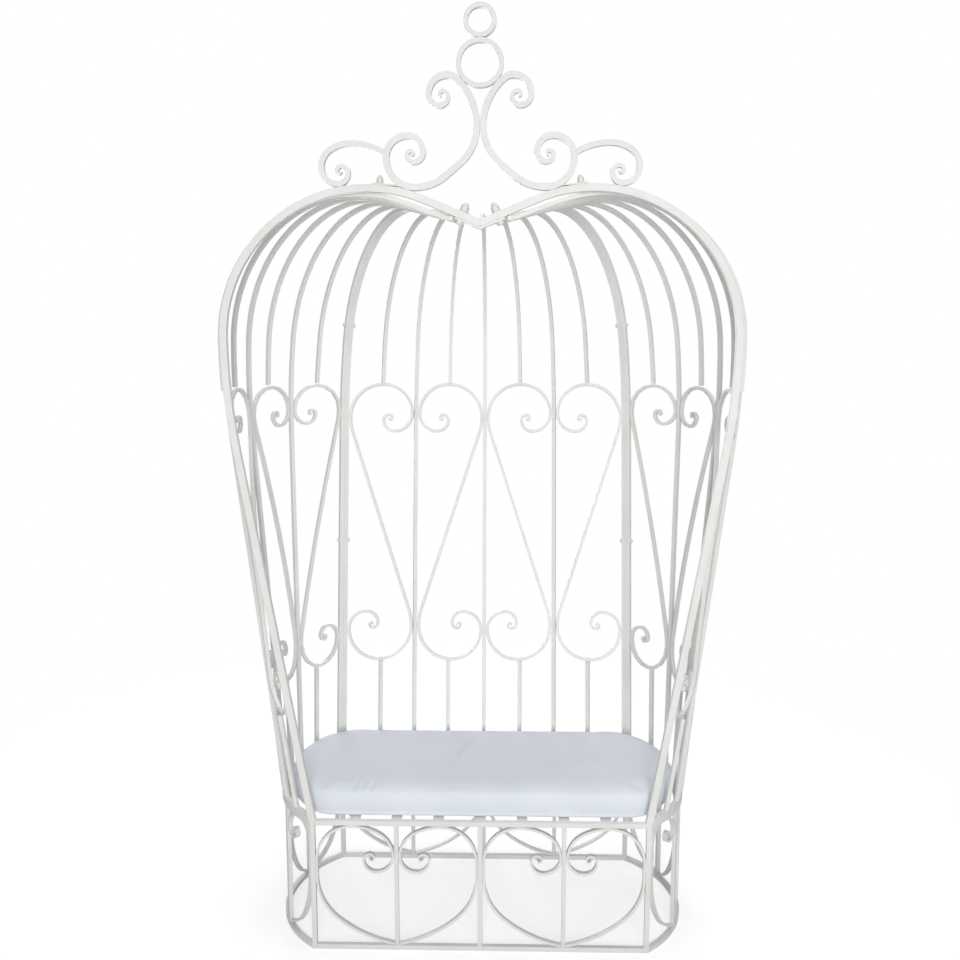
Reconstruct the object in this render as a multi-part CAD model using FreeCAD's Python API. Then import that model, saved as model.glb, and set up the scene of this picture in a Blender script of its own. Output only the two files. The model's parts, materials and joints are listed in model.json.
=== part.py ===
import FreeCAD
import Part
import copy
import math
import os

from FreeCAD import Vector

# Driving sizes in millimetres and degrees. X runs across, Y to the back, Z up.

# Base frame
SEAT_HEIGHT = 334.0
CORNER_X = 406.0
BASE_DEPTH = 440.0
SIDE_BULGE = 108.0
RAIL = 12.0
BASE_BAR = 10.0
BASE_STRIP = 6.0
STRIP_DEPTH = 12.0
SLAT_WIDTH = 25.0
SLAT_THICK = 5.0
SLAT_COUNT = 7

# Base hearts, as shares of the half heart's width and height
FLANK_SHARE = 0.57
FRONT_TIP_RISE = 11.0
FRONT_FLANK_LEAN = 50.0
SIDE_TIP_RISE = 19.0
SIDE_FLANK_LEAN = 35.0
BASE_CURL_TURNS = (-90, -30, -60, -90, -90, -90, -120, -150)
BASE_CURL = (0.46, 0.72, 0.36, 0.22, 0.165, 0.085, 0.052, 0.024)
BASE_ROLL = 4

# Cage
POST = 12.0
RIB = 10.0
CAGE_FLARE = 175.0
SHOULDER_RISE = 1151.0
BREAK_SHARE = 0.89
MID_RIB_OUT = 203.0
MID_RIB_SHARE = 0.766
SIDE_SWELL = 18.0
BACK_DROP = 11.0
FRONT_DROP = 22.0
DROP_POWER = 1.5
CROWN_R = 66.0
POST_STEPS = 2.2

# Cage hearts
HEART_STRIP = 8.0
HEART_DEPTH = 10.0
HEART_TOP_SHARE = 0.892
HEART_BOTTOM_SHARE = 0.211
FLANK_BEND = 150.0
SIDE_HEART_WIDTH = 148.0
CAGE_CURL_TURNS = (-90, -90, -90, -90, -90, -120, -170)
CAGE_CURL = (0.53, 0.47, 0.287, 0.177, 0.088, 0.047, 0.023)
CAGE_ROLL = 3

# Front arch
ARCH = 16.0
LOBE_R = 330.0
CUSP_SLOPE = 22.3
BRACKET_REACH = 54.0
BRACKET_THICK = 5.0

# Finial bars
SCROLL = 14.0
CURL_BAR = 12.0
FINIAL_DEPTH = 14.0
RING_BAR = 10.0
TAB_THICK = 3.0
WAIST = 3.0

# Finial bends, as shares of the radius of the arch's lobe
LARGE_RING = 0.158
SMALL_RING = 0.109
NECK = 0.382
NECK_TURN = 50.5
CREST = 0.091
SCROLL_TOP = (0.121, 0.073, 0.055, 0.037, 0.02, 0.012)
FLANK = ((0.312, 50), (0.121, 0), (0.327, 40))
FOOT = 0.191
SCROLL_FOOT = (0.142, 0.106, 0.064, 0.045, 0.027, 0.016, 0.012)
CURL_HEADING = 32.0
CURL_CREST = ((0.455, -32), (0.242, -35), (0.133, -55))
CURL_END = (0.109, 0.07, 0.045, 0.03, 0.017, 0.012)
TAB_PLACE = 0.673
TAB_LENGTH = 0.188
FINIAL_ROLL = 6
CURL_ROLL = 5

# Ends of the scrolls, drawn down to a share of the bar and rolled
DRAWN = 0.35
STRIP_DRAWN = 0.6

# Fasteners
CUSP_BOLT_X = 40.0
BOLT_R = 3.0
LOW_BOLT_SHARE = 0.505
HIGH_BOLT_RISE = 40.0

# Seat cushion
CUSHION_THICK = 70.0
CUSHION_FRONT_CORNER = 90.0
CUSHION_BACK_CORNER = 125.0
CUSHION_GAP = 4.0
CUSHION_LEVELS = ((12, 0.0), (3, 0.16), (0, 0.42), (4, 0.7), (14, 0.88), (34, 0.965), (80, 1.0))

# Small room left where two bars touch
CLEAR = 0.2
LOBE_GAP = 0.4
TWIST_GAP = 0.5

# Reach of the blocks that trim a bar, longer than any piece
FAR = 2000.0

# Places that follow from the sizes above
OVERALL_DEPTH = ARCH / 2 + BASE_DEPTH + CAGE_FLARE + POST / 2
FRONT_Y = ARCH / 2 - OVERALL_DEPTH / 2
BACK_Y = FRONT_Y + BASE_DEPTH
MID_Y = FRONT_Y + BASE_DEPTH / 2
SIDE_R = ((BASE_DEPTH / 2) ** 2 + SIDE_BULGE ** 2) / (2 * SIDE_BULGE)
SIDE_X = CORNER_X + SIDE_BULGE - SIDE_R
SIDE_ANGLE = math.degrees(math.asin(BASE_DEPTH / 2 / SIDE_R))
CAGE_Z = SEAT_HEIGHT + RAIL
POST_X = CORNER_X - POST / 2 - 0.25
SHOULDER_Z = SEAT_HEIGHT + SHOULDER_RISE
BREAK_Z = SEAT_HEIGHT + SHOULDER_RISE * BREAK_SHARE
HEART_TOP_Z = SEAT_HEIGHT + SHOULDER_RISE * HEART_TOP_SHARE
HEART_BOTTOM_Z = SEAT_HEIGHT + SHOULDER_RISE * HEART_BOTTOM_SHARE
LOW_BOLT_Z = SEAT_HEIGHT + SHOULDER_RISE * LOW_BOLT_SHARE
MID_RIB_X = CORNER_X + MID_RIB_OUT
MID_RIB_Y = BASE_DEPTH * MID_RIB_SHARE
LOBE_X = CORNER_X + CAGE_FLARE - LOBE_R
NECK_R = NECK * LOBE_R
CREST_R = CREST * LOBE_R
FOOT_R = FOOT * LOBE_R
LARGE_RING_R = LARGE_RING * LOBE_R
SMALL_RING_R = SMALL_RING * LOBE_R
TAB_X = TAB_PLACE * LOBE_R
CUSP_TAN = math.tan(math.radians(CUSP_SLOPE))
CUSP_COS = math.cos(math.radians(CUSP_SLOPE))
CUSP_SIN = math.sin(math.radians(CUSP_SLOPE))
CUSP_Z = SHOULDER_Z + LOBE_R * CUSP_COS - (LOBE_X - LOBE_R * CUSP_SIN) * CUSP_TAN
CROWN_TOP = CUSP_Z + (CROWN_R - RIB / 2) * CUSP_TAN - ARCH / 2 / CUSP_COS - CLEAR
CROWN_Z = CROWN_TOP - RIB / 2
SIDE_STEPS = 8
SIDE_FEET = (0.0, 0.17, 0.3, 0.41, 0.515, 0.63, 0.75, 0.875, 1.0)
RIBS_PER_SIDE = SIDE_STEPS - 1
POST_STEP = 4
SIDE_START = POST_STEP + POST_STEPS - 1
FAN_STEP = 90.0 / (RIBS_PER_SIDE + SIDE_START + 0.8)

nodes = {}


def turn(point, heading, moves):
    """Follow lines and tangent arcs and return the runs with the last point and heading."""
    x, y = point
    runs = []
    for size, angle in moves:
        h = math.radians(heading)
        if angle == 0:
            end = (x + size * math.cos(h), y + size * math.sin(h))
            runs.append(("line", (x, y), end, heading, 0.0, size))
        else:
            side = math.copysign(1.0, angle)
            centre = (x - side * size * math.sin(h), y + side * size * math.cos(h))
            h_end = math.radians(heading + angle)
            end = (centre[0] + side * size * math.sin(h_end), centre[1] - side * size * math.cos(h_end))
            runs.append(("arc", centre, end, heading, angle, size))
        x, y = end
        heading = heading + angle
    return runs, (x, y), heading


def backwards(moves):
    """The same moves walked from the far end."""
    return [(size, -angle) for size, angle in reversed(moves)]


def joined(first, second, middle, heading):
    """A path through a middle point: first is walked from its far end, then second."""
    _, point, last = turn(middle, heading + 180, first)
    return point, last + 180, backwards(first) + list(second)


def run_point(run, share, offset):
    """A point beside the centre line of a run, at a share of its length."""
    kind, base, end, heading, angle, size = run
    h = math.radians(heading + angle * share)
    if kind == "line":
        x, y = base[0] + (end[0] - base[0]) * share, base[1] + (end[1] - base[1]) * share
        return Vector(x - offset * math.sin(h), y + offset * math.cos(h), 0)
    side = math.copysign(1.0, angle)
    r = size - side * offset
    return Vector(base[0] + side * r * math.sin(h), base[1] - side * r * math.cos(h), 0)


def side_edge(run, first, last):
    """The edge of a bent bar beside one run, from one offset to another."""
    points = [run_point(run, share, first + (last - first) * share) for share in (0.0, 0.5, 1.0)]
    if run[0] == "line":
        return Part.LineSegment(points[0], points[2]).toShape()
    return Part.Arc(points[0], points[1], points[2]).toShape()


def half_widths(count, thick, rolls, drawn):
    """Half the width of a bar at the start of each run, drawn down over the runs of its rolled ends."""
    out = []
    for i in range(count + 1):
        full = min([1.0] + [step / roll for step, roll in ((i, rolls[0]), (count - i, rolls[1])) if roll])
        out.append(thick / 2 * (drawn + (1 - drawn) * full))
    return out


def bent_bar(point, heading, moves, thick, depth, placement, rolls=(0, 0), drawn=1.0):
    """A bar of square or flat section bent along lines and arcs in one plane."""
    runs, _, _ = turn(point, heading, moves)
    w = half_widths(len(runs), thick, rolls, drawn)
    left = [side_edge(run, w[i], w[i + 1]) for i, run in enumerate(runs)]
    right = [side_edge(run, -w[i], -w[i + 1]) for i, run in enumerate(runs)]
    start = Part.LineSegment(right[0].valueAt(right[0].FirstParameter), left[0].valueAt(left[0].FirstParameter))
    stop = Part.LineSegment(left[-1].valueAt(left[-1].LastParameter), right[-1].valueAt(right[-1].LastParameter))
    outline = left + [stop.toShape()] + right[::-1] + [start.toShape()]
    face = Part.Face(Part.Wire(Part.__sortEdges__(outline)))
    face.translate(Vector(0, 0, -depth / 2))
    solid = face.extrude(Vector(0, 0, depth))
    solid.Placement = placement.multiply(solid.Placement)
    return solid


def plane(origin, ex, ey):
    """A placement whose local x and y run along two given directions."""
    ez = ex.cross(ey)
    m = FreeCAD.Matrix(
        ex.x, ey.x, ez.x, origin.x,
        ex.y, ey.y, ez.y, origin.y,
        ex.z, ey.z, ez.z, origin.z,
        0, 0, 0, 1)
    return FreeCAD.Placement(m)


def mirrored(shape):
    return shape.mirror(Vector(0, 0, 0), Vector(1, 0, 0))


def box(x0, x1, y0, y1, z0, z1):
    return Part.makeBox(x1 - x0, y1 - y0, z1 - z0, Vector(x0, y0, z0))


def square_bar(x, y, z0, z1, size):
    return box(x - size / 2, x + size / 2, y - size / 2, y + size / 2, z0, z1)


def group(shapes):
    """Several solids of one node."""
    solids = []
    for shape in shapes:
        solids.extend(shape.Solids)
    return solids[0] if len(solids) == 1 else Part.makeCompound(solids)


def keep(name, *shapes):
    nodes[name] = group(shapes)


def keep_pair(name, right):
    keep(name + "_right", right)
    keep(name + "_left", mirrored(right))


def keep_both(name, right):
    keep(name, right, mirrored(right))


def side_angle(k):
    return math.radians(SIDE_ANGLE * (1 - 2.0 * k / SIDE_STEPS))


def side_point(k, z):
    """Point k of the curved right side, counted from the back corner to the front one."""
    a = side_angle(k)
    return Vector(SIDE_X + SIDE_R * math.cos(a), MID_Y + SIDE_R * math.sin(a), z)


# Base


def straight_rail(y, z):
    return box(-CORNER_X + RAIL / 2, CORNER_X - RAIL / 2, y - RAIL / 2, y + RAIL / 2, z, z + RAIL)


def curved_rail(z):
    """A rail bent round the right side from the front corner to the back one."""
    start = side_point(SIDE_STEPS, 0)
    moves = [(SIDE_R, SIDE_ANGLE), (SIDE_R, SIDE_ANGLE)]
    flat = plane(Vector(0, 0, z + RAIL / 2), Vector(1, 0, 0), Vector(0, 1, 0))
    return bent_bar((start.x, start.y), 90 - SIDE_ANGLE, moves, RAIL, RAIL, flat)


def corner_post(y):
    return square_bar(CORNER_X, y, 0, SEAT_HEIGHT, RAIL)


def build_base_frame():
    corners = corner_post(FRONT_Y).fuse(corner_post(BACK_Y))
    for name, z in (("floor", 0), ("seat", SEAT_HEIGHT - RAIL)):
        keep(name + "_rail_front", straight_rail(FRONT_Y, z))
        keep(name + "_rail_back", straight_rail(BACK_Y, z))
        keep_pair(name + "_rail", curved_rail(z).cut(corners))
    keep_both("base_corner_posts", group([corner_post(FRONT_Y), corner_post(BACK_Y)]))
    z0, z1 = RAIL, SEAT_HEIGHT - RAIL
    middle = side_point(SIDE_STEPS / 2, 0)
    side = square_bar(middle.x, middle.y, z0, z1, RAIL)
    centre = [square_bar(0, y, z0, z1, RAIL) for y in (FRONT_Y, BACK_Y)]
    keep("base_middle_posts", side, mirrored(side), *centre)


def build_heart_bars():
    z0, z1 = RAIL, SEAT_HEIGHT - RAIL
    x = CORNER_X / 2
    keep_both("base_heart_bars", group([square_bar(x, y, z0, z1, BASE_BAR) for y in (FRONT_Y, BACK_Y)]))
    bars = []
    for k in (2, 6):
        p = side_point(k, 0)
        bars.append(square_bar(0, 0, z0, z1, BASE_BAR))
        bars[-1].rotate(Vector(0, 0, 0), Vector(0, 0, 1), math.degrees(side_angle(k)))
        bars[-1].translate(p)
    keep_both("base_side_heart_bars", group(bars))


def base_half(width, tip_rise, lean):
    """Half a base heart, from its tip on the floor rail to the eye of its curl."""
    t = BASE_STRIP
    high = SEAT_HEIGHT - 2 * RAIL
    across = width - t - 2 * CLEAR
    r = [across * share for share in BASE_CURL]
    flank = FLANK_SHARE * high
    upright = high - t / 2 - CLEAR - r[0] - flank
    s0, c0 = math.sin(math.radians(tip_rise)), math.cos(math.radians(tip_rise))
    s1, c1 = math.cos(math.radians(lean)), math.sin(math.radians(lean))
    x, z = width - CLEAR - t / 2 * s0, CLEAR + t / 2 * c0
    dx, dz = x - t / 2 - CLEAR, flank - z
    det = (s1 - s0) * c1 - (1 - s1) * (c0 - c1)
    low_r = (c1 * dx - (1 - s1) * dz) / det
    flank_r = ((s1 - s0) * dz - (c0 - c1) * dx) / det
    moves = [(low_r, tip_rise + lean - 90), (flank_r, -lean), (upright, 0)]
    moves += list(zip(r, BASE_CURL_TURNS))
    return (x, z), 180 - tip_rise, moves


def square_reach(size, direction, angle):
    """How far a square bar turned by an angle stands out along a direction."""
    a = math.atan2(direction.y, direction.x) - angle
    return size / 2 * (abs(math.cos(a)) + abs(math.sin(a)))


def heart_half_between(post, bar, post_turn, bar_turn, tip_rise, lean):
    """Stand half a heart in the upright plane from a post to a heart bar."""
    width = post.distanceToPoint(bar)
    ex = (bar - post) * (1 / width)
    post_half = square_reach(RAIL, ex, post_turn)
    bar_half = square_reach(BASE_BAR, ex, bar_turn)
    foot = post + ex * post_half
    placement = plane(Vector(foot.x, foot.y, RAIL), ex, Vector(0, 0, 1))
    point, heading, moves = base_half(width - post_half - bar_half, tip_rise, lean)
    return bent_bar(
        point, heading, moves, BASE_STRIP, STRIP_DEPTH, placement, (0, BASE_ROLL), STRIP_DRAWN)


def build_base_hearts():
    for side, y in (("front", FRONT_Y), ("back", BACK_Y)):
        bar = Vector(CORNER_X / 2, y, 0)
        halves = []
        for x in (0, CORNER_X):
            halves.append(heart_half_between(
                Vector(x, y, 0), bar, 0, 0, FRONT_TIP_RISE, FRONT_FLANK_LEAN))
        keep_pair("base_%s_heart" % side, group(halves))
    for side, k in (("back", 2), ("front", 6)):
        halves = []
        for post in (k - 2, k + 2):
            halves.append(heart_half_between(
                side_point(post, 0), side_point(k, 0), 0, side_angle(k),
                SIDE_TIP_RISE, SIDE_FLANK_LEAN))
        keep_pair("base_side_%s_heart" % side, group(halves))


def build_slats():
    pitch = 2 * CORNER_X / (SLAT_COUNT + 1)
    slats = []
    for i in range(SLAT_COUNT):
        x = pitch * (i + 1) - CORNER_X
        slats.append(box(
            x - SLAT_WIDTH / 2, x + SLAT_WIDTH / 2, FRONT_Y + RAIL / 2, BACK_Y - RAIL / 2,
            SEAT_HEIGHT - SLAT_THICK, SEAT_HEIGHT))
    keep("seat_slats", *slats)


# Cage bars


class CageBar:
    """One bar of the cage: leaning leg, slow bend, shoulder and a run to the crown."""

    def __init__(self, foot, shoulder, size):
        reach = shoulder - foot
        reach.z = 0
        self.foot = foot
        self.size = size
        self.lean = math.atan2(reach.Length, BREAK_Z - SEAT_HEIGHT)
        out = Vector(reach).normalize()
        self.leg = out * math.sin(self.lean) + Vector(0, 0, math.cos(self.lean))
        tangent = SHOULDER_Z - BREAK_Z
        self.slow_r = tangent / math.tan(self.lean / 2)
        self.straight = (BREAK_Z - SEAT_HEIGHT) / math.cos(self.lean) - tangent
        self.inward = None

    def aim(self, target):
        """Turn the plane of the bar so that it holds the target."""
        v = target - self.foot
        self.inward = (v - self.leg * v.dot(self.leg)).normalize()
        return v.dot(self.leg), v.dot(self.inward)

    def local(self, h):
        """Point and heading in the plane of the bar at a length h above the seat."""
        if h <= self.straight:
            return (h, 0.0), 0.0
        a = (h - self.straight) / self.slow_r
        return (self.straight + self.slow_r * math.sin(a), self.slow_r * (1 - math.cos(a))), a

    def shoulder(self, target, drop):
        """Radius of the shoulder and length of the last run that bring the bar to its target."""
        q1, q2 = self.aim(target)
        end = math.radians(90 + drop) + self.lean
        p, _ = self.local(self.straight + self.slow_r * self.lean)
        a, b = math.sin(end) - math.sin(self.lean), math.cos(end)
        c, d = math.cos(self.lean) - math.cos(end), math.sin(end)
        u, v = q1 - p[0], q2 - p[1]
        det = a * d - b * c
        return (u * d - b * v) / det, (a * v - c * u) / det

    def on_shoulder(self, rise, radius):
        """A point on the shoulder at a length past the slow bend."""
        p, a = self.local(self.straight + self.slow_r * self.lean)
        b = a + rise / radius
        x = p[0] + radius * (math.sin(b) - math.sin(a))
        y = p[1] + radius * (math.cos(a) - math.cos(b))
        return self.foot + self.leg * x + self.inward * y

    def at(self, h):
        (x, y), _ = self.local(h)
        return self.foot + self.leg * x + self.inward * y

    def leg_moves(self, h):
        if h < self.straight:
            return [(self.straight - h, 0), (self.slow_r, math.degrees(self.lean))]
        _, a = self.local(h)
        return [(self.slow_r, math.degrees(self.lean - a))]

    def frame(self):
        return plane(self.foot, self.leg, self.inward)

    def reach(self, direction):
        """How far the leg's square section stands out along a direction."""
        across = self.leg.cross(self.inward)
        return self.size / 2 * (abs(direction.dot(across)) + abs(direction.dot(self.inward)))

    def bar(self, h, target, drop):
        """The bar from length h up to a target at the crown."""
        radius, run = self.shoulder(target, drop)
        point, heading = self.local(h)
        moves = self.leg_moves(h) + [(radius, 90 + drop), (run + RIB / 4, 0)]
        return bent_bar(point, math.degrees(heading), moves, self.size, self.size, self.frame())

    def stub(self, h0, h1):
        """A short straight length of the leg."""
        return bent_bar((h0, 0), 0, [(h1 - h0, 0)], self.size, self.size, self.frame())


def crown_point(step):
    a = math.radians(FAN_STEP * step)
    r = CROWN_R + RIB / 2
    return Vector(r * math.sin(a), FRONT_Y + r * math.cos(a), CROWN_Z)


def crown_core():
    """The room inside the crown ring, which every bar stops short of."""
    r = CROWN_R + RIB / 2 + CLEAR
    return Part.makeCylinder(r, 2 * FAR, Vector(0, FRONT_Y, CROWN_Z - FAR))


def below(z):
    return box(-FAR, FAR, -FAR, FAR, z - FAR, z)


def heart_heights():
    """Lengths along the back legs of the lowest and highest edge of the cage hearts."""
    c = math.cos(math.atan2(CAGE_FLARE, BREAK_Z - SEAT_HEIGHT))
    return (HEART_BOTTOM_Z - SEAT_HEIGHT) / c, (HEART_TOP_Z - SEAT_HEIGHT) / c


def back_bar(x, step, size):
    bar = CageBar(Vector(x, BACK_Y, SEAT_HEIGHT), Vector(x, BACK_Y + CAGE_FLARE, SEAT_HEIGHT), size)
    bar.aim(crown_point(step))
    return bar


def whole_bar(bar, target, drop):
    solid = bar.bar(RAIL - bar.size, target, drop)
    return solid.cut(crown_core()).cut(below(CAGE_Z))


def coped(solid, neighbour):
    """A bar notched near the crown so that it fits against the bar beside it."""
    bar, target, drop = neighbour
    wide = copy.copy(bar)
    wide.size = bar.size + 2 * CLEAR
    return solid.cut(wide.bar(wide.straight, target, drop))


def level(bar, z):
    """Length along a leg at which it reaches a height."""
    return (z - SEAT_HEIGHT) / math.cos(bar.lean)


def upper_bar(bar, z, target, drop):
    return bar.bar(level(bar, z), target, drop).cut(crown_core())


def lower_stub(bar, z):
    return bar.stub(RAIL - bar.size, level(bar, z)).cut(below(CAGE_Z))


def back_layout():
    """The heart bar stands midway between the faces of the centre bar and the post."""
    across = Vector(1, 0, 0)
    inner = back_bar(0, 0, RIB).reach(across)
    outer = POST_X - back_bar(POST_X, 4, POST).reach(across)
    heart_x = (inner + outer) / 2
    width = heart_x - inner - back_bar(heart_x, 2, RIB).reach(across)
    return heart_x, width, inner, outer


def cage_half(width):
    """Half a cage heart: an S scroll with the same curl at both ends."""
    low, high = heart_heights()
    t = HEART_STRIP
    across = width - t - 2 * CLEAR
    r = [across * share for share in CAGE_CURL]
    rise = high - low - t - 2 * r[0]
    gap = math.hypot(across - 2 * FLANK_BEND, rise)
    lean = math.degrees(math.asin(2 * FLANK_BEND / gap) + math.atan2(across - 2 * FLANK_BEND, rise))
    flank = math.sqrt(gap ** 2 - 4 * FLANK_BEND ** 2)
    moves = [(flank / 2, 0), (FLANK_BEND, -lean)] + list(zip(r, CAGE_CURL_TURNS))
    middle = (width / 2, (low + high) / 2)
    return joined(moves, moves, middle, 90 + lean)


def build_back_panel():
    keep("back_rail", box(
        -CORNER_X - RAIL / 2, CORNER_X + RAIL / 2, BACK_Y - RAIL / 2, BACK_Y + RAIL / 2, SEAT_HEIGHT, CAGE_Z))
    heart_x, _, inner, outer = back_layout()
    lobes = [back_bar((inner + heart_x) / 2, 1, RIB), back_bar((heart_x + outer) / 2, 3, RIB)]
    bars = [back_bar(0, 0, RIB), lobes[0], back_bar(heart_x, 2, RIB), lobes[1], back_bar(POST_X, 4, POST)]
    ends = [(bar, crown_point(step), BACK_DROP) for step, bar in enumerate(bars)]
    keep("back_centre_rib", whole_bar(*ends[0]))
    keep_both("back_heart_ribs", coped(whole_bar(*ends[2]), ends[1]))
    keep_pair("back_post", coped(whole_bar(*ends[4]), ends[3]))
    top, bottom = HEART_TOP_Z + LOBE_GAP, HEART_BOTTOM_Z - LOBE_GAP
    uppers = [coped(upper_bar(bars[i], top, *ends[i][1:]), ends[i - 1]) for i in (1, 3)]
    keep_both("back_lobe_ribs", group(uppers))
    return [lower_stub(bar, bottom) for bar in lobes]


def build_back_hearts():
    heart_x, width, inner, outer = back_layout()
    lean = math.atan2(CAGE_FLARE, BREAK_Z - SEAT_HEIGHT)
    up = Vector(0, math.sin(lean), math.cos(lean))
    point, heading, moves = cage_half(width)
    halves = []
    for start, ex in ((inner, 1), (outer, -1)):
        placement = plane(Vector(start, BACK_Y, SEAT_HEIGHT), Vector(ex, 0, 0), up)
        halves.append(bent_bar(
            point, heading, moves, HEART_STRIP, HEART_DEPTH, placement, (CAGE_ROLL, CAGE_ROLL), STRIP_DRAWN))
    keep_pair("back_heart", group(halves))


# Side panels


def shoulder_arc():
    """Circle through the back corner, the middle rib and the arch at shoulder height."""
    a = Vector(CORNER_X, BACK_Y + CAGE_FLARE, 0)
    b = Vector(MID_RIB_X, FRONT_Y + MID_RIB_Y, 0)
    c = Vector(CORNER_X + CAGE_FLARE, FRONT_Y, 0)
    circle = Part.Circle(a, b, c)
    o = circle.Center
    first = math.atan2(a.y - o.y, a.x - o.x)
    last = math.atan2(c.y - o.y, c.x - o.x)
    return o, circle.Radius, first, last


def side_bar(k):
    """Bar k of the right side panel; 0 is the post at the back."""
    if k == 0:
        bar = back_bar(POST_X, 4, POST)
        bar.foot = bar.foot + post_step(bar)
        return bar
    o, r, first, last = shoulder_arc()
    share = k / SIDE_STEPS
    a = first + (last - first) * share
    r += SIDE_SWELL * (1 - share) * math.sin(math.pi * share)
    foot = side_point(SIDE_STEPS * SIDE_FEET[k], SEAT_HEIGHT)
    bar = CageBar(foot, o + Vector(r * math.cos(a), r * math.sin(a), 0), RIB)
    bar.aim(crown_point(SIDE_START + k))
    return bar


def post_step(bar):
    """From the back panel's post to the side panel's post bolted beside it."""
    return bar.leg.cross(bar.inward) * (POST + CLEAR)


def arch_bar():
    foot = Vector(CORNER_X, FRONT_Y, SEAT_HEIGHT)
    bar = CageBar(foot, foot + Vector(CAGE_FLARE, 0, 0), ARCH)
    bar.aim(Vector(0, FRONT_Y, CUSP_Z))
    return bar


def arch_solid():
    """Half of the heart-shaped front arch, from the seat corner to the cusp."""
    bar = arch_bar()
    last = (LOBE_X - LOBE_R * CUSP_SIN) / CUSP_COS
    moves = bar.leg_moves(-ARCH) + [(LOBE_R, 90 + CUSP_SLOPE), (last + ARCH, 0)]
    solid = bent_bar((-ARCH, 0), 0, moves, ARCH, ARCH, bar.frame())
    past = box(-FAR, CLEAR / 2, FRONT_Y - FAR, FRONT_Y + FAR, CUSP_Z - FAR, CUSP_Z + FAR)
    return solid.cut(below(SEAT_HEIGHT)).cut(past)


def build_side_panel(back_stubs):
    arch = arch_solid()
    rail = curved_rail(SEAT_HEIGHT).cut(nodes["back_rail"]).cut(arch)
    keep_pair("side_rail", rail)
    bars = side_bars()
    post_end = crown_point(4) + post_step(bars[0])
    keep_pair("side_post", whole_bar(bars[0], post_end, BACK_DROP))
    ends = [(bars[0], post_end, BACK_DROP)] + [(bars[k], *side_end(k)) for k in range(1, SIDE_STEPS)]
    keep_pair("side_mid_rib", coped(whole_bar(*ends[4]), ends[3]))
    keep_pair("side_heart_ribs", group([coped(whole_bar(*ends[k]), ends[k - 1]) for k in (2, 6)]))
    low, high = heart_heights()
    uppers, stubs = [], []
    for k in (1, 3, 5, 7):
        top = (bars[k - 1].at(high).z + bars[k + 1].at(high).z) / 2 + LOBE_GAP
        bottom = (bars[k - 1].at(low).z + bars[k + 1].at(low).z) / 2 - 2.4 * LOBE_GAP
        uppers.append(coped(upper_bar(bars[k], top, *side_end(k)), ends[k - 1]))
        stubs.append(lower_stub(bars[k], bottom))
    keep_pair("side_lobe_ribs", group(uppers))
    keep_both("cage_stubs", group(back_stubs + stubs))
    return arch


def side_end(k):
    """Where bar k of the side panel meets the crown, and how steeply it comes down to it."""
    share = (k / SIDE_STEPS) ** DROP_POWER
    return crown_point(SIDE_START + k), BACK_DROP + (FRONT_DROP - BACK_DROP) * share


def side_bars():
    """Every upright of the right side panel, the arch leg last."""
    return [side_bar(k) for k in range(SIDE_STEPS)] + [arch_bar()]


def sampled(point, heading, moves, step):
    """Points, headings and half widths along a strip, close enough together for a smooth bar."""
    runs, last, last_heading = turn(point, heading, moves)
    w = half_widths(len(runs), HEART_STRIP, (CAGE_ROLL, CAGE_ROLL), STRIP_DRAWN)
    out = []
    for k, run in enumerate(runs):
        angle = run[4]
        count = 3 if run[0] == "line" else max(2, math.ceil(abs(angle) / step))
        for i in range(count):
            share = i / count
            p = run_point(run, share, 0)
            out.append(((p.x, p.y), math.radians(run[3] + angle * share), w[k] + (w[k + 1] - w[k]) * share))
    out.append((last, math.radians(last_heading), w[-1]))
    return out


def curved_half(post, bar):
    """Half a heart laid on the twisted surface between a side post and its heart bar."""
    width = SIDE_HEART_WIDTH
    across = width - HEART_STRIP - 2 * CLEAR

    def on_panel(x, h):
        a, b = post.at(h), bar.at(h)
        span = b - a
        toward = Vector(span).normalize()
        m0 = post.reach(toward) + HEART_STRIP / 2 + TWIST_GAP
        m1 = bar.reach(toward) + HEART_STRIP / 2 + TWIST_GAP
        reach = m0 + (x - HEART_STRIP / 2 - CLEAR) * (span.Length - m0 - m1) / across
        return a + span * (reach / span.Length)

    sections = []
    tiny = 0.01
    for (x, h), head, half in sampled(*cage_half(width), 22.5):
        p = on_panel(x, h)
        ex = on_panel(x + tiny, h) - p
        eh = on_panel(x, h + tiny) - p
        along = (ex * math.cos(head) + eh * math.sin(head)).normalize()
        face = ex.cross(eh).normalize()
        side = face.cross(along) * half
        out = face * (HEART_DEPTH / 2)
        corners = [p + side + out, p - side + out, p - side - out, p + side - out]
        sections.append(Part.makePolygon(corners + corners[:1]))
    return Part.makeLoft(sections, True, True)


def build_side_hearts():
    bars = side_bars()
    for side, k in (("back", 2), ("front", 6)):
        halves = [curved_half(bars[k + step], bars[k]) for step in (-2, 2)]
        keep_pair("side_%s_heart" % side, group(halves))


# Crown


def front_plane():
    return plane(Vector(0, FRONT_Y, 0), Vector(1, 0, 0), Vector(0, 0, 1))


def build_crown():
    flat = plane(Vector(0, FRONT_Y, CROWN_Z), Vector(1, 0, 0), Vector(0, 1, 0))
    keep("crown_ring", bent_bar((CROWN_R, 0), 90, [(CROWN_R, 90), (CROWN_R, 90)], RIB, RIB, flat))
    top = CUSP_Z - ARCH / 2 / CUSP_COS - CLEAR
    x1 = BRACKET_REACH
    x2 = x1 + BRACKET_THICK * CUSP_SIN
    right = [(x1, top + x1 * CUSP_TAN), (x2, top + x1 * CUSP_TAN - BRACKET_THICK * CUSP_COS)]
    low = (0, top - BRACKET_THICK / CUSP_COS)
    outline = [(0, top)] + right + [low] + [(-x, z) for x, z in right[::-1]] + [(0, top)]
    y = FRONT_Y - ARCH / 2
    face = Part.Face(Part.makePolygon([Vector(x, y, z) for x, z in outline]))
    return face.extrude(Vector(0, ARCH, 0))


# Finial


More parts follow.
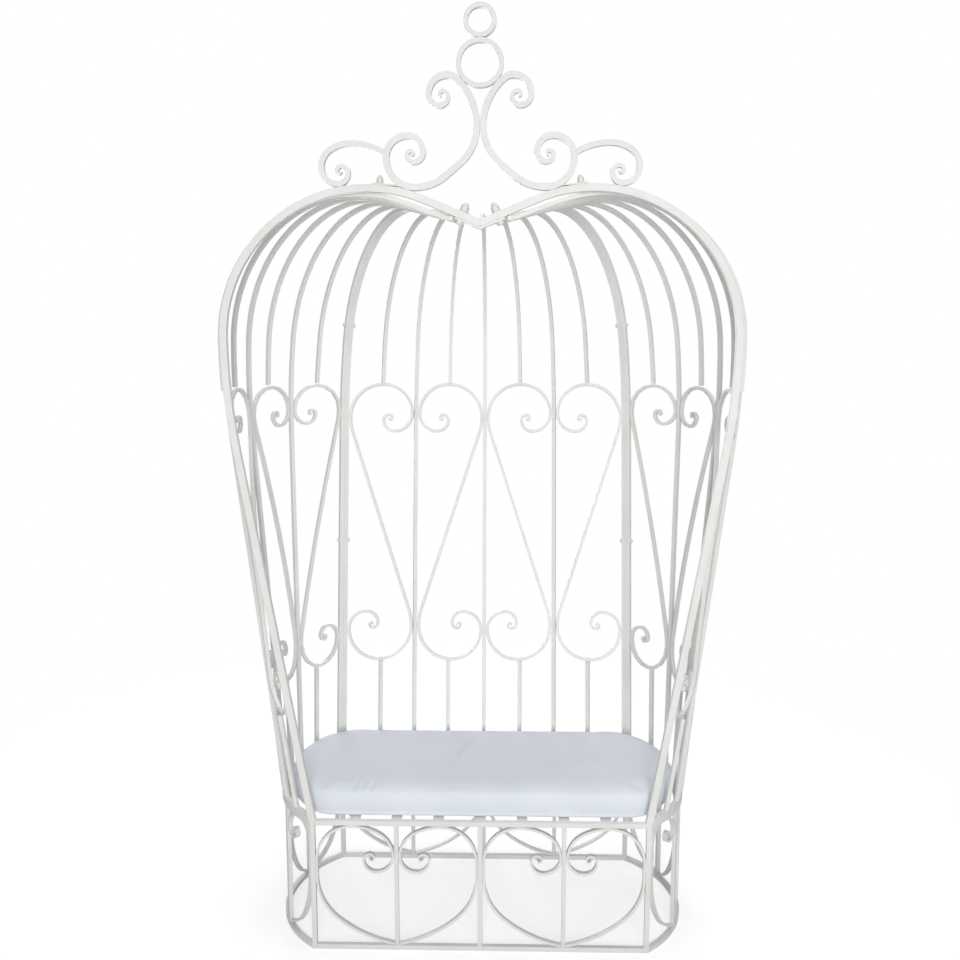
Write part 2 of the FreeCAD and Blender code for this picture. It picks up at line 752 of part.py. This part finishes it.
def lobe_sized(moves):
    """Bends given as shares of the lobe's radius, in millimetres."""
    return [(share * LOBE_R, angle) for share, angle in moves]


def quarters(shares, direction):
    """A curl of quarter turns that closes into a rolled eye."""
    return [(share, direction * 90) for share in shares]


def finial_scroll_moves():
    """The S scroll of the right side, upward and downward from its waist."""
    lower = list(FLANK) + [(FOOT, 90)] + quarters(SCROLL_FOOT, 1)
    upper = [(NECK, -NECK_TURN), (CREST, NECK_TURN - 90)] + quarters(SCROLL_TOP, -1)
    return lobe_sized(upper), lobe_sized(lower)


def on_lobe(x, r):
    """Height at which a circle of radius r rests on the arch, with its centre at x."""
    return SHOULDER_Z + math.sqrt((LOBE_R + ARCH / 2 + CLEAR + r) ** 2 - (x - LOBE_X) ** 2)


def build_finial_scrolls():
    upper, lower = finial_scroll_moves()
    x = SCROLL / 2 + CLEAR / 2
    _, bottom, _ = turn((x, 0), -90, lower[:3])
    waist_z = on_lobe(bottom[0], FOOT_R + SCROLL / 2) - FOOT_R - bottom[1]
    moves = [(WAIST, 0)] + lower
    point, heading, path = joined(upper, moves, (x, waist_z + WAIST), -90)
    scroll = bent_bar(
        point, heading, path, SCROLL, FINIAL_DEPTH, front_plane(), (FINIAL_ROLL, FINIAL_ROLL), DRAWN)
    keep_pair("finial_scroll", scroll)
    _, neck, last = turn((x, waist_z + WAIST), 90, upper[:1])
    h = math.radians(last)
    crest = (neck[0] + CREST_R * math.sin(h), neck[1] - CREST_R * math.cos(h), CREST_R)
    cradle = (crest, (x + NECK_R, waist_z + WAIST, NECK_R))
    return scroll, bottom[0], cradle


def ring(z, radius):
    outer = Part.makeCylinder(radius, FINIAL_DEPTH, Vector(0, FRONT_Y - FINIAL_DEPTH / 2, z), Vector(0, 1, 0))
    inner = Part.makeCylinder(
        radius - RING_BAR, FINIAL_DEPTH, Vector(0, FRONT_Y - FINIAL_DEPTH / 2, z), Vector(0, 1, 0))
    return outer.cut(inner)


def build_finial_rings(cradle):
    """The large ring lies in the cradle of the two scrolls, the small ring stands on it."""
    seats = []
    for x, z, r in cradle:
        seats.append(z + math.sqrt((r + SCROLL / 2 + LARGE_RING_R + CLEAR) ** 2 - x ** 2))
    z = max(seats)
    keep("finial_ring_large", ring(z, LARGE_RING_R))
    keep("finial_ring_small", ring(z + LARGE_RING_R + SMALL_RING_R + CLEAR, SMALL_RING_R))


def build_finial_curls(scroll, foot_x):
    """The smaller C scrolls outside the S scrolls, resting on the arch."""
    moves = lobe_sized(list(CURL_CREST) + quarters(CURL_END, -1))
    x = foot_x + FOOT_R - 1
    _, low, _ = turn((x, 0), CURL_HEADING, moves[:4])
    r = moves[4][0]
    z = on_lobe(low[0], r + CURL_BAR / 2) - r - low[1]
    curl = bent_bar((x, z), CURL_HEADING, moves, CURL_BAR, FINIAL_DEPTH, front_plane(), (0, CURL_ROLL), DRAWN)
    keep_pair("finial_curl", curl.cut(scroll))


def lobe_frame(x):
    """A plane lying on top of the arch at x: local x along the arch, y away from it."""
    r = LOBE_R + ARCH / 2 + CLEAR / 2
    up = Vector(x - LOBE_X, 0, math.sqrt(r ** 2 - (x - LOBE_X) ** 2)) * (1 / r)
    along = Vector(up.z, 0, -up.x)
    return plane(Vector(LOBE_X, FRONT_Y, SHOULDER_Z) + up * r, along, up)


def tab_solid(scroll):
    placement = lobe_frame(TAB_X)
    length = TAB_LENGTH * LOBE_R
    tab = bent_bar((-0.75 * length, TAB_THICK / 2), 0, [(length, 0)], TAB_THICK, FINIAL_DEPTH, placement)
    return tab.cut(scroll)


# Fasteners


def turned(profile, placement):
    """A round solid from half a profile of (radius, height) points."""
    points = [Vector(r, h, 0) for r, h in profile]
    face = Part.Face(Part.makePolygon(points + points[:1]))
    solid = face.revolve(Vector(0, 0, 0), Vector(0, 1, 0), 360)
    solid.Placement = placement.multiply(solid.Placement)
    return solid


def hexagon(radius, low, high, placement):
    corners = [Vector(radius * math.cos(a), low, radius * math.sin(a)) for a in (i * math.pi / 3 for i in range(6))]
    solid = Part.Face(Part.makePolygon(corners + corners[:1])).extrude(Vector(0, high - low, 0))
    solid.Placement = placement.multiply(solid.Placement)
    return solid


def bolt(grip, nut, head_r, head_h, placement):
    """A washer and capped hexagon seated at height 0, on a shank that goes through its grip to a nut."""
    low = -grip - nut
    washer, cap = 0.12 * head_h, 0.6 * head_h
    profile = [(0, low), (BOLT_R, low), (BOLT_R, 0), (head_r, 0), (head_r, washer), (0.72 * head_r, washer)]
    profile += [(0.72 * head_r, cap), (0.55 * head_r, 0.85 * head_h), (0.25 * head_r, head_h), (0, head_h)]
    solid = turned(profile, placement).fuse(hexagon(0.88 * head_r, washer, cap, placement))
    if nut > 0:
        solid = solid.fuse(hexagon(0.88 * head_r, 0.2 * nut - grip - nut, -grip, placement))
    return solid.removeSplitter()


def drilled(shape, grip, placement):
    hole = turned([(0, -grip), (BOLT_R + CLEAR / 2, -grip), (BOLT_R + CLEAR / 2, 30), (0, 30)], placement)
    return shape.cut(hole)


def build_top_bolts(arch, bracket, tab):
    along = Vector(CUSP_COS, 0, CUSP_SIN)
    up = Vector(-CUSP_SIN, 0, CUSP_COS)
    on_top = Vector(CUSP_BOLT_X, FRONT_Y, CUSP_Z + CUSP_BOLT_X * CUSP_TAN) + up * (ARCH / 2)
    cusp = plane(on_top, along, up)
    grip = ARCH + BRACKET_THICK + CLEAR
    keep_both("cusp_bolts", bolt(grip, 9, 11, 22, cusp))
    arch = drilled(arch, grip + 10, cusp)
    bracket = mirrored(drilled(mirrored(drilled(bracket, grip + 10, cusp)), grip + 10, cusp))
    on_tab = lobe_frame(TAB_X)
    stud = on_tab.multiply(FreeCAD.Placement(Vector(0, TAB_THICK, 0), FreeCAD.Rotation()))
    keep_both("finial_bolts", bolt(ARCH * 0.8, 0, 8.5, 18, stud))
    keep_pair("arch", drilled(arch, ARCH * 0.8 + 1, stud))
    keep("cusp_bracket", bracket)
    keep_both("finial_tabs", drilled(tab, 20, stud))


def build_post_bolts():
    """Bolts that hold each side panel to the back panel at its double post."""
    post = back_bar(POST_X, 4, POST)
    out = post_step(post).normalize()
    grip = 2 * POST + CLEAR
    radius, _ = post.shoulder(crown_point(4), BACK_DROP)
    low = post.at(level(post, LOW_BOLT_Z))
    high = post.on_shoulder(HIGH_BOLT_RISE, radius)
    bolts = []
    for place in (low, high):
        seat = plane(place + out * (grip - POST / 2), post.leg, out)
        bolts.append(bolt(grip, 7, 7, 7, seat))
        for name in ("back_post", "side_post"):
            keep_pair(name, drilled(nodes[name + "_right"], 60, seat))
    keep_both("post_bolts", group(bolts))


# Cushion


def cushion_outline(inset, z):
    """The seat outline drawn in by an inset: two straight edges, two bowed sides, round corners."""
    front_r = CUSHION_FRONT_CORNER - inset
    back_r = CUSHION_BACK_CORNER - inset
    side_r = SIDE_R - RAIL / 2 - CUSHION_GAP - inset
    front = FRONT_Y + CUSHION_GAP + inset
    back = BACK_Y - RAIL / 2 - CUSHION_GAP - inset
    y_front = front + front_r
    y_back = back - back_r
    x_front = SIDE_X + math.sqrt((side_r - front_r) ** 2 - (y_front - MID_Y) ** 2)
    x_back = SIDE_X + math.sqrt((side_r - back_r) ** 2 - (y_back - MID_Y) ** 2)
    a_front = math.atan2(y_front - MID_Y, x_front - SIDE_X)
    a_back = math.atan2(y_back - MID_Y, x_back - SIDE_X)

    def corner(x, y, r, a0, a1):
        points = [Vector(x + r * math.cos(a), y + r * math.sin(a), z) for a in (a0, (a0 + a1) / 2, a1)]
        return Part.Arc(*points).toShape()

    def bow(sign):
        points = []
        for a in (a_front, (a_front + a_back) / 2, a_back):
            points.append(Vector(sign * (SIDE_X + side_r * math.cos(a)), MID_Y + side_r * math.sin(a), z))
        return Part.Arc(*(points if sign > 0 else points[::-1])).toShape()

    half_turn = math.pi / 2
    edges = [
        Part.LineSegment(Vector(-x_front, front, z), Vector(x_front, front, z)).toShape(),
        corner(x_front, y_front, front_r, -half_turn, a_front),
        bow(1),
        corner(x_back, y_back, back_r, a_back, half_turn),
        Part.LineSegment(Vector(x_back, back, z), Vector(-x_back, back, z)).toShape(),
        corner(-x_back, y_back, back_r, half_turn, math.pi - a_back),
        bow(-1),
        corner(-x_front, y_front, front_r, math.pi - a_front, 1.5 * math.pi)]
    return Part.Wire(edges)


def build_cushion():
    """A stuffed pad: drawn in at its seams, fullest at mid height, crowned on top."""
    t = CUSHION_THICK
    z = SEAT_HEIGHT + 0.3
    sections = [cushion_outline(inset, z + share * t) for inset, share in CUSHION_LEVELS]
    keep("seat_cushion", Part.makeLoft(sections, True, True))


def build():
    build_base_frame()
    build_heart_bars()
    build_base_hearts()
    build_slats()
    stubs = build_back_panel()
    build_back_hearts()
    arch = build_side_panel(stubs)
    build_side_hearts()
    bracket = build_crown()
    scroll, foot_x, cradle = build_finial_scrolls()
    build_finial_rings(cradle)
    build_finial_curls(scroll, foot_x)
    build_top_bolts(arch, bracket, tab_solid(scroll))
    build_post_bolts()
    build_cushion()


build()
os.makedirs("parts", exist_ok=True)
for name, shape in nodes.items():
    shape.exportStep("parts/%s.step" % name)
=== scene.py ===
import json
import math

import bmesh
import bpy
import numpy as np
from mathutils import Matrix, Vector

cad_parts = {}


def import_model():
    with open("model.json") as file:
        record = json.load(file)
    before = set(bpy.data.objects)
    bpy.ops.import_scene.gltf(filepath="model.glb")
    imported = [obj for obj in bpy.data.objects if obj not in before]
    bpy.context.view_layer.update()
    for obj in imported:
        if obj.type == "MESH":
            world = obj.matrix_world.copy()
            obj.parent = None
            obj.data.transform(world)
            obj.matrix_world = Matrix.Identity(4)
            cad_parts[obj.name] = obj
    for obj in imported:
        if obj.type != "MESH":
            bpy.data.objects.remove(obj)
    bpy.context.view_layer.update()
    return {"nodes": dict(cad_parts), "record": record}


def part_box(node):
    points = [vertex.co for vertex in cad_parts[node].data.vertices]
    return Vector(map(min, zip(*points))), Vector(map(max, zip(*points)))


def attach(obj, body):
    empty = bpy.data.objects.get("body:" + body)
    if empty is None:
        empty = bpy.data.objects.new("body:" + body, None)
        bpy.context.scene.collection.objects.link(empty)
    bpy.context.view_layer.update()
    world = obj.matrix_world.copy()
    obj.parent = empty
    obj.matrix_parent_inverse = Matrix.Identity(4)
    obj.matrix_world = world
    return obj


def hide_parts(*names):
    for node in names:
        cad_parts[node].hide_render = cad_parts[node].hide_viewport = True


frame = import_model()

MM = 0.001

# Camera, solved from the base, the hoops and the feet of the arch
FRONT_Y = (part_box("arch_right")[0].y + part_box("arch_right")[1].y) / 2
CAMERA_PLACE = (0.0528, FRONT_Y - 2.2732, 1.4808)
CAMERA_YAW = 0.0233
CAMERA_PITCH = 0.1383
CAMERA_LENS = 37.5
CAMERA_SENSOR = 36.0

# Paint and cloth, linear colours
PAINT = (0.835, 0.835, 0.81)
PAINT_SHADE = (0.75, 0.75, 0.72)
HARDWARE = (0.74, 0.74, 0.71)
CLOTH = (0.80, 0.836, 0.90)
CLOTH_SHADE = (0.75, 0.787, 0.855)
FLOOR = (0.62, 0.62, 0.62)

# Enamel: uneven tone and gloss, softened arrises, ripple of the forged bar and orange peel
MOTTLE_SCALE = 9.0
MOTTLE_DETAIL = 4.0
MOTTLE_ROUGHNESS = 0.6
MOTTLE_RANGE = (0.25, 0.75)
GLOSS_SCALE = 60.0
GLOSS_DETAIL = 3.0
GLOSS_RANGE = (0.40, 0.60)
ARRIS_RADIUS = 1.2 * MM
ARRIS_SAMPLES = 8
RIPPLE_SCALE = 55.0
RIPPLE_DETAIL = 2.0
RIPPLE_STRENGTH = 0.15
RIPPLE_DEPTH = 0.8 * MM
PEEL_SCALE = 900.0
PEEL_DETAIL = 1.0
PEEL_STRENGTH = 0.05
PEEL_DEPTH = 0.1 * MM

# Weave of the cover
BLOTCH_SCALE = 7.0
BLOTCH_DETAIL = 3.0
BLOTCH_RANGE = (0.3, 0.7)
THREAD_SCALE = 420.0
THREAD_WANDER = 0.6
THREAD_STRENGTH = 0.18
THREAD_DEPTH = 0.25 * MM
SLUB_SCALE = 240.0
SLUB_DETAIL = 3.0
SLUB_STRENGTH = 0.12
SLUB_DEPTH = 0.5 * MM
CLOTH_ROUGHNESS = 0.78
SHEEN = 0.25
SHEEN_ROUGHNESS = 0.5

# Light and floor
AMBIENT = 0.25
AMBIENT_TINT = (0.95, 0.975, 1.0)
KEY_POWER = 122.0
KEY_PLACE = (0.3, -4.6, 1.5)
KEY_TARGET = (0.0, -0.1, 1.1)
KEY_SIZE = 1.8
TOP_POWER = 64.0
TOP_PLACE = (0.3, 0.1, 4.6)
TOP_TARGET = (0.0, 0.0, 0.4)
TOP_SIZE = 2.4
BACK_POWER = 85.0
BACK_PLACE = (-1.6, 4.6, 1.3)
BACK_SIZE = 2.0
FLOOR_HALF = 12.0
FLOOR_ROUGHNESS = 0.9
FLOOR_LIFT = 0.6
FADE_START = 0.9
FADE_END = 2.3

# Cushion
PAD_VOXEL = 0.0065
PAD_PRESSURE = 4.0
PAD_STEPS = 20
PAD_QUALITY = 4
PAD_SWELL = 0.006
PAD_DRAW_IN = 0.004
PAD_DROP = 0.0005
PAD_FULLNESS = 1.3
PAD_SEAT = 0.008
PAD_SMOOTHING = 5
SEAM_RISE = 0.013
SEAM_DEPTH = 0.0016
SEAM_WIDTH = 0.003
CREASE_DEPTH = 0.005
CREASE_REACH = 0.03

# Each crease: its place across and behind the arch, its direction, length and width
CREASES = (
    ((-0.325, 0.072), (0.12, 1.0), 0.030, 0.006),
    ((-0.306, 0.054), (0.20, 1.0), 0.028, 0.005),
    ((-0.284, 0.062), (0.25, 1.0), 0.030, 0.006),
    ((-0.264, 0.050), (0.25, 1.0), 0.028, 0.005),
    ((-0.392, 0.117), (0.10, 1.0), 0.030, 0.007),
    ((-0.046, 0.258), (0.20, 1.0), 0.055, 0.007),
    ((-0.030, 0.290), (0.35, 1.0), 0.030, 0.006))


def link(obj):
    bpy.context.scene.collection.objects.link(obj)
    return obj


def node(tree, kind, **values):
    made = tree.nodes.new(kind)
    for key, value in values.items():
        if key in made.inputs:
            made.inputs[key].default_value = value
        else:
            setattr(made, key, value)
    return made


def material(name):
    made = bpy.data.materials.new(name)
    made.use_nodes = True
    tree = made.node_tree
    return made, tree, tree.nodes["Principled BSDF"]


def noise(tree, coords, scale, detail=2.0, rough=0.5):
    made = node(tree, "ShaderNodeTexNoise", Scale=scale, Detail=detail, Roughness=rough)
    tree.links.new(coords, made.inputs["Vector"])
    return made.outputs["Fac"]


def ramp(tree, fac, low, high, first, last):
    made = node(tree, "ShaderNodeValToRGB")
    made.color_ramp.elements[0].position = low
    made.color_ramp.elements[0].color = (*first, 1)
    made.color_ramp.elements[1].position = high
    made.color_ramp.elements[1].color = (*last, 1)
    tree.links.new(fac, made.inputs["Fac"])
    return made.outputs["Color"]


def spread(tree, fac, low, high):
    """A factor from 0 to 1 turned into a range of values."""
    made = node(tree, "ShaderNodeMapRange")
    made.inputs["To Min"].default_value = low
    made.inputs["To Max"].default_value = high
    tree.links.new(fac, made.inputs["Value"])
    return made.outputs["Result"]


def bump(tree, height, strength, distance, normal=None):
    made = node(tree, "ShaderNodeBump", Strength=strength, Distance=distance)
    tree.links.new(height, made.inputs["Height"])
    if normal is not None:
        tree.links.new(normal, made.inputs["Normal"])
    return made.outputs["Normal"]


def paint_material(name, colour, shade):
    """White enamel sprayed over forged bar."""
    made, tree, shader = material(name)
    coords = node(tree, "ShaderNodeTexCoord").outputs["Object"]
    mottle = noise(tree, coords, MOTTLE_SCALE, MOTTLE_DETAIL, MOTTLE_ROUGHNESS)
    tree.links.new(ramp(tree, mottle, *MOTTLE_RANGE, shade, colour), shader.inputs["Base Color"])
    gloss = noise(tree, coords, GLOSS_SCALE, GLOSS_DETAIL)
    tree.links.new(spread(tree, gloss, *GLOSS_RANGE), shader.inputs["Roughness"])
    arris = node(tree, "ShaderNodeBevel", samples=ARRIS_SAMPLES, Radius=ARRIS_RADIUS).outputs["Normal"]
    ripple = noise(tree, coords, RIPPLE_SCALE, RIPPLE_DETAIL)
    rippled = bump(tree, ripple, RIPPLE_STRENGTH, RIPPLE_DEPTH, arris)
    peel = noise(tree, coords, PEEL_SCALE, PEEL_DETAIL)
    peeled = bump(tree, peel, PEEL_STRENGTH, PEEL_DEPTH, rippled)
    tree.links.new(peeled, shader.inputs["Normal"])
    return made


def cloth_material():
    """Plain-woven white cover with a fine weave, a few slubs and a faintly uneven tone."""
    made, tree, shader = material("pad_cloth")
    coords = node(tree, "ShaderNodeTexCoord").outputs["Object"]
    blotch = noise(tree, coords, BLOTCH_SCALE, BLOTCH_DETAIL)
    tree.links.new(ramp(tree, blotch, *BLOTCH_RANGE, CLOTH_SHADE, CLOTH), shader.inputs["Base Color"])
    weave = node(tree, "ShaderNodeMath", operation="MAXIMUM")
    for socket, way in zip(weave.inputs, "XY"):
        thread = node(tree, "ShaderNodeTexWave", Scale=THREAD_SCALE, Distortion=THREAD_WANDER)
        thread.bands_direction = way
        tree.links.new(coords, thread.inputs["Vector"])
        tree.links.new(thread.outputs["Fac"], socket)
    woven = bump(tree, weave.outputs["Value"], THREAD_STRENGTH, THREAD_DEPTH)
    slubs = noise(tree, coords, SLUB_SCALE, SLUB_DETAIL)
    slubbed = bump(tree, slubs, SLUB_STRENGTH, SLUB_DEPTH, woven)
    tree.links.new(slubbed, shader.inputs["Normal"])
    shader.inputs["Roughness"].default_value = CLOTH_ROUGHNESS
    shader.inputs["Sheen Weight"].default_value = SHEEN
    shader.inputs["Sheen Roughness"].default_value = SHEEN_ROUGHNESS
    return made


def dress_frame():
    paint = paint_material("white_paint", PAINT, PAINT_SHADE)
    hardware = paint_material("bolt_paint", HARDWARE, PAINT_SHADE)
    slots = {row["node"]: row["material_slot"] for row in frame["record"]["subparts"]}
    for name, obj in frame["nodes"].items():
        coat = hardware if slots[name] == "hardware" else paint
        obj.data.materials.clear()
        obj.data.materials.append(coat)


def evaluated(obj):
    graph = bpy.context.evaluated_depsgraph_get()
    return bpy.data.meshes.new_from_object(obj.evaluated_get(graph))


def bake(obj):
    """Put the result of an object's modifiers into its mesh."""
    mesh = evaluated(obj)
    obj.modifiers.clear()
    obj.data = mesh


def points(mesh, key="co"):
    values = np.empty(len(mesh.vertices) * 3)
    mesh.vertices.foreach_get(key, values)
    return values.reshape(-1, 3)


def place(mesh, values):
    mesh.vertices.foreach_set("co", values.ravel())
    mesh.update()


def pad_blank(low, high):
    """The cover before it is filled: the solid's form, drawn in at the sides and fuller near the top."""
    obj = link(bpy.data.objects.new("seat_pad", frame["nodes"]["seat_cushion"].data.copy()))
    middle = (low + high) / 2
    half = (high - low) / 2
    at = points(obj.data)
    at[:, :2] = middle[:2] + (at[:, :2] - middle[:2]) * (1 - PAD_DRAW_IN / half[:2])
    depth = np.clip((high[2] - at[:, 2]) / (high[2] - low[2]), 0, 1)
    at[:, 2] = high[2] - PAD_DROP - (high[2] - PAD_DROP - low[2]) * depth ** PAD_FULLNESS
    place(obj.data, at)
    remesh = obj.modifiers.new("Remesh", "REMESH")
    remesh.mode = "VOXEL"
    remesh.voxel_size = PAD_VOXEL
    bake(obj)
    return obj


def inflate(obj, low):
    """Blow the cover up with cloth and hold each point near its start."""
    start = points(obj.data)
    pin = obj.vertex_groups.new(name="seat")
    pin.add(np.flatnonzero(start[:, 2] < low[2] + PAD_SEAT).tolist(), 1.0, "REPLACE")
    cloth = obj.modifiers.new("Cloth", "CLOTH")
    cloth.settings.quality = PAD_QUALITY
    cloth.settings.vertex_group_mass = "seat"
    cloth.settings.use_pressure = True
    cloth.settings.uniform_pressure_force = PAD_PRESSURE
    cloth.settings.effector_weights.gravity = 0.0
    cloth.point_cache.frame_start = 1
    cloth.point_cache.frame_end = PAD_STEPS
    for step in range(1, PAD_STEPS + 1):
        bpy.context.scene.frame_set(step)
    mesh = evaluated(obj)
    bpy.context.scene.frame_set(1)
    obj.modifiers.clear()
    move = points(mesh) - start
    length = np.maximum(np.linalg.norm(move, axis=1), PAD_SWELL)
    obj.data = mesh
    place(mesh, start + move * (PAD_SWELL / length)[:, None])


def refine(obj):
    """Even out the voxel steps and split the faces, so that seams and creases have points to sit on."""
    smooth = obj.modifiers.new("Smooth", "SMOOTH")
    smooth.iterations = PAD_SMOOTHING
    finer = obj.modifiers.new("Finer", "SUBSURF")
    finer.levels = 1
    finer.render_levels = 1
    bake(obj)


def settle(obj, low, high):
    """Keep the pad on its slats and inside the plan that its solid takes."""
    at = points(obj.data)
    at[:, 2] = np.maximum(at[:, 2], low[2])
    at[:, :2] = np.clip(at[:, :2], low[:2], high[:2])
    place(obj.data, at)


def seam(obj, low):
    """The stitched line where the cover's base is sewn to its sides."""
    at = points(obj.data)
    t = (at[:, 2] - low[2] - SEAM_RISE) / SEAM_WIDTH
    place(obj.data, at - points(obj.data, "normal") * (SEAM_DEPTH * np.exp(-t * t))[:, None])


def crease(obj, high):
    """Shallow pulls in the top of the cover, as cloth shows after use."""
    at = points(obj.data)
    top = at[:, 2] > high[2] - CREASE_REACH
    for (x, y), (dx, dy), length, width in CREASES:
        turn = math.atan2(dy, dx)
        u = at[:, 0] - x
        v = at[:, 1] - FRONT_Y - y
        s = (u * math.cos(turn) + v * math.sin(turn)) / length
        t = (u * math.sin(turn) - v * math.cos(turn)) / width
        at[:, 2] -= top * CREASE_DEPTH * np.exp(-s * s - t * t)
    place(obj.data, at)


def seat_pad():
    low, high = (np.array(corner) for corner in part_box("seat_cushion"))
    obj = pad_blank(low, high)
    inflate(obj, low)
    refine(obj)
    settle(obj, low, high)
    seam(obj, low)
    crease(obj, high)
    for face in obj.data.polygons:
        face.use_smooth = True
    obj.data.materials.clear()
    obj.data.materials.append(cloth_material())
    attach(obj, "cushion")
    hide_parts("seat_cushion")


def camera():
    data = bpy.data.cameras.new("camera")
    data.sensor_width = CAMERA_SENSOR
    data.lens = CAMERA_LENS
    obj = link(bpy.data.objects.new("camera", data))
    obj.location = CAMERA_PLACE
    obj.rotation_euler = (math.pi / 2 - CAMERA_PITCH, 0, CAMERA_YAW)
    bpy.context.scene.camera = obj


def background_rays(tree):
    """1 for rays that show the background itself, 0 for rays that carry its light."""
    path = node(tree, "ShaderNodeLightPath")
    rays = path.outputs["Is Camera Ray"]
    for name in ("Is Glossy Ray", "Is Transmission Ray"):
        both = node(tree, "ShaderNodeMath", operation="MAXIMUM")
        tree.links.new(rays, both.inputs[0])
        tree.links.new(path.outputs[name], both.inputs[1])
        rays = both.outputs["Value"]
    return rays


def times(tree, first, second):
    made = node(tree, "ShaderNodeMath", operation="MULTIPLY")
    tree.links.new(first, made.inputs[0])
    if isinstance(second, float):
        made.inputs[1].default_value = second
    else:
        tree.links.new(second, made.inputs[1])
    return made.outputs["Value"]


def floor_material():
    """Pale floor that keeps the shadow near the bench and fades to white away from it."""
    made, tree, shader = material("floor")
    shader.inputs["Base Color"].default_value = (*FLOOR, 1)
    shader.inputs["Roughness"].default_value = FLOOR_ROUGHNESS
    shader.inputs["Specular IOR Level"].default_value = 0.0
    rays = background_rays(tree)
    lift = node(tree, "ShaderNodeEmission", Color=(1, 1, 1, 1))
    tree.links.new(times(tree, rays, FLOOR_LIFT), lift.inputs["Strength"])
    near = node(tree, "ShaderNodeAddShader")
    tree.links.new(shader.outputs[0], near.inputs[0])
    tree.links.new(lift.outputs[0], near.inputs[1])
    coords = node(tree, "ShaderNodeTexCoord").outputs["Object"]
    away = node(tree, "ShaderNodeVectorMath", operation="LENGTH")
    tree.links.new(coords, away.inputs[0])
    fade = node(tree, "ShaderNodeMapRange", interpolation_type="SMOOTHSTEP")
    fade.inputs["From Min"].default_value = FADE_START
    fade.inputs["From Max"].default_value = FADE_END
    tree.links.new(away.outputs["Value"], fade.inputs["Value"])
    white = node(tree, "ShaderNodeEmission", Color=(1, 1, 1, 1), Strength=1.0)
    mix = node(tree, "ShaderNodeMixShader")
    tree.links.new(times(tree, rays, fade.outputs["Result"]), mix.inputs["Fac"])
    tree.links.new(near.outputs[0], mix.inputs[1])
    tree.links.new(white.outputs[0], mix.inputs[2])
    tree.links.new(mix.outputs[0], tree.nodes["Material Output"].inputs["Surface"])
    return made


def floor():
    mesh = bpy.data.meshes.new("floor")
    shape = bmesh.new()
    bmesh.ops.create_grid(shape, x_segments=1, y_segments=1, size=FLOOR_HALF)
    shape.to_mesh(mesh)
    shape.free()
    obj = link(bpy.data.objects.new("floor", mesh))
    mesh.materials.append(floor_material())


def area_light(name, place, target, size, power):
    data = bpy.data.lights.new(name, "AREA")
    data.shape = "DISK"
    data.size = size
    data.energy = power
    obj = link(bpy.data.objects.new(name, data))
    obj.location = place
    obj.rotation_euler = (Vector(target) - Vector(place)).to_track_quat("-Z", "Y").to_euler()


def world():
    made = bpy.data.worlds.new("studio")
    bpy.context.scene.world = made
    made.use_nodes = True
    tree = made.node_tree
    tree.nodes.clear()
    soft = node(tree, "ShaderNodeBackground", Color=(*AMBIENT_TINT, 1), Strength=AMBIENT)
    white = node(tree, "ShaderNodeBackground", Color=(1, 1, 1, 1), Strength=1.0)
    mix = node(tree, "ShaderNodeMixShader")
    tree.links.new(background_rays(tree), mix.inputs["Fac"])
    tree.links.new(soft.outputs[0], mix.inputs[1])
    tree.links.new(white.outputs[0], mix.inputs[2])
    out = node(tree, "ShaderNodeOutputWorld")
    tree.links.new(mix.outputs[0], out.inputs["Surface"])


def studio():
    bpy.context.scene.view_settings.view_transform = "Standard"
    world()
    floor()
    area_light("key", KEY_PLACE, KEY_TARGET, KEY_SIZE, KEY_POWER)
    area_light("top", TOP_PLACE, TOP_TARGET, TOP_SIZE, TOP_POWER)
    area_light("back", BACK_PLACE, KEY_TARGET, BACK_SIZE, BACK_POWER)
    camera()


dress_frame()
seat_pad()
studio()
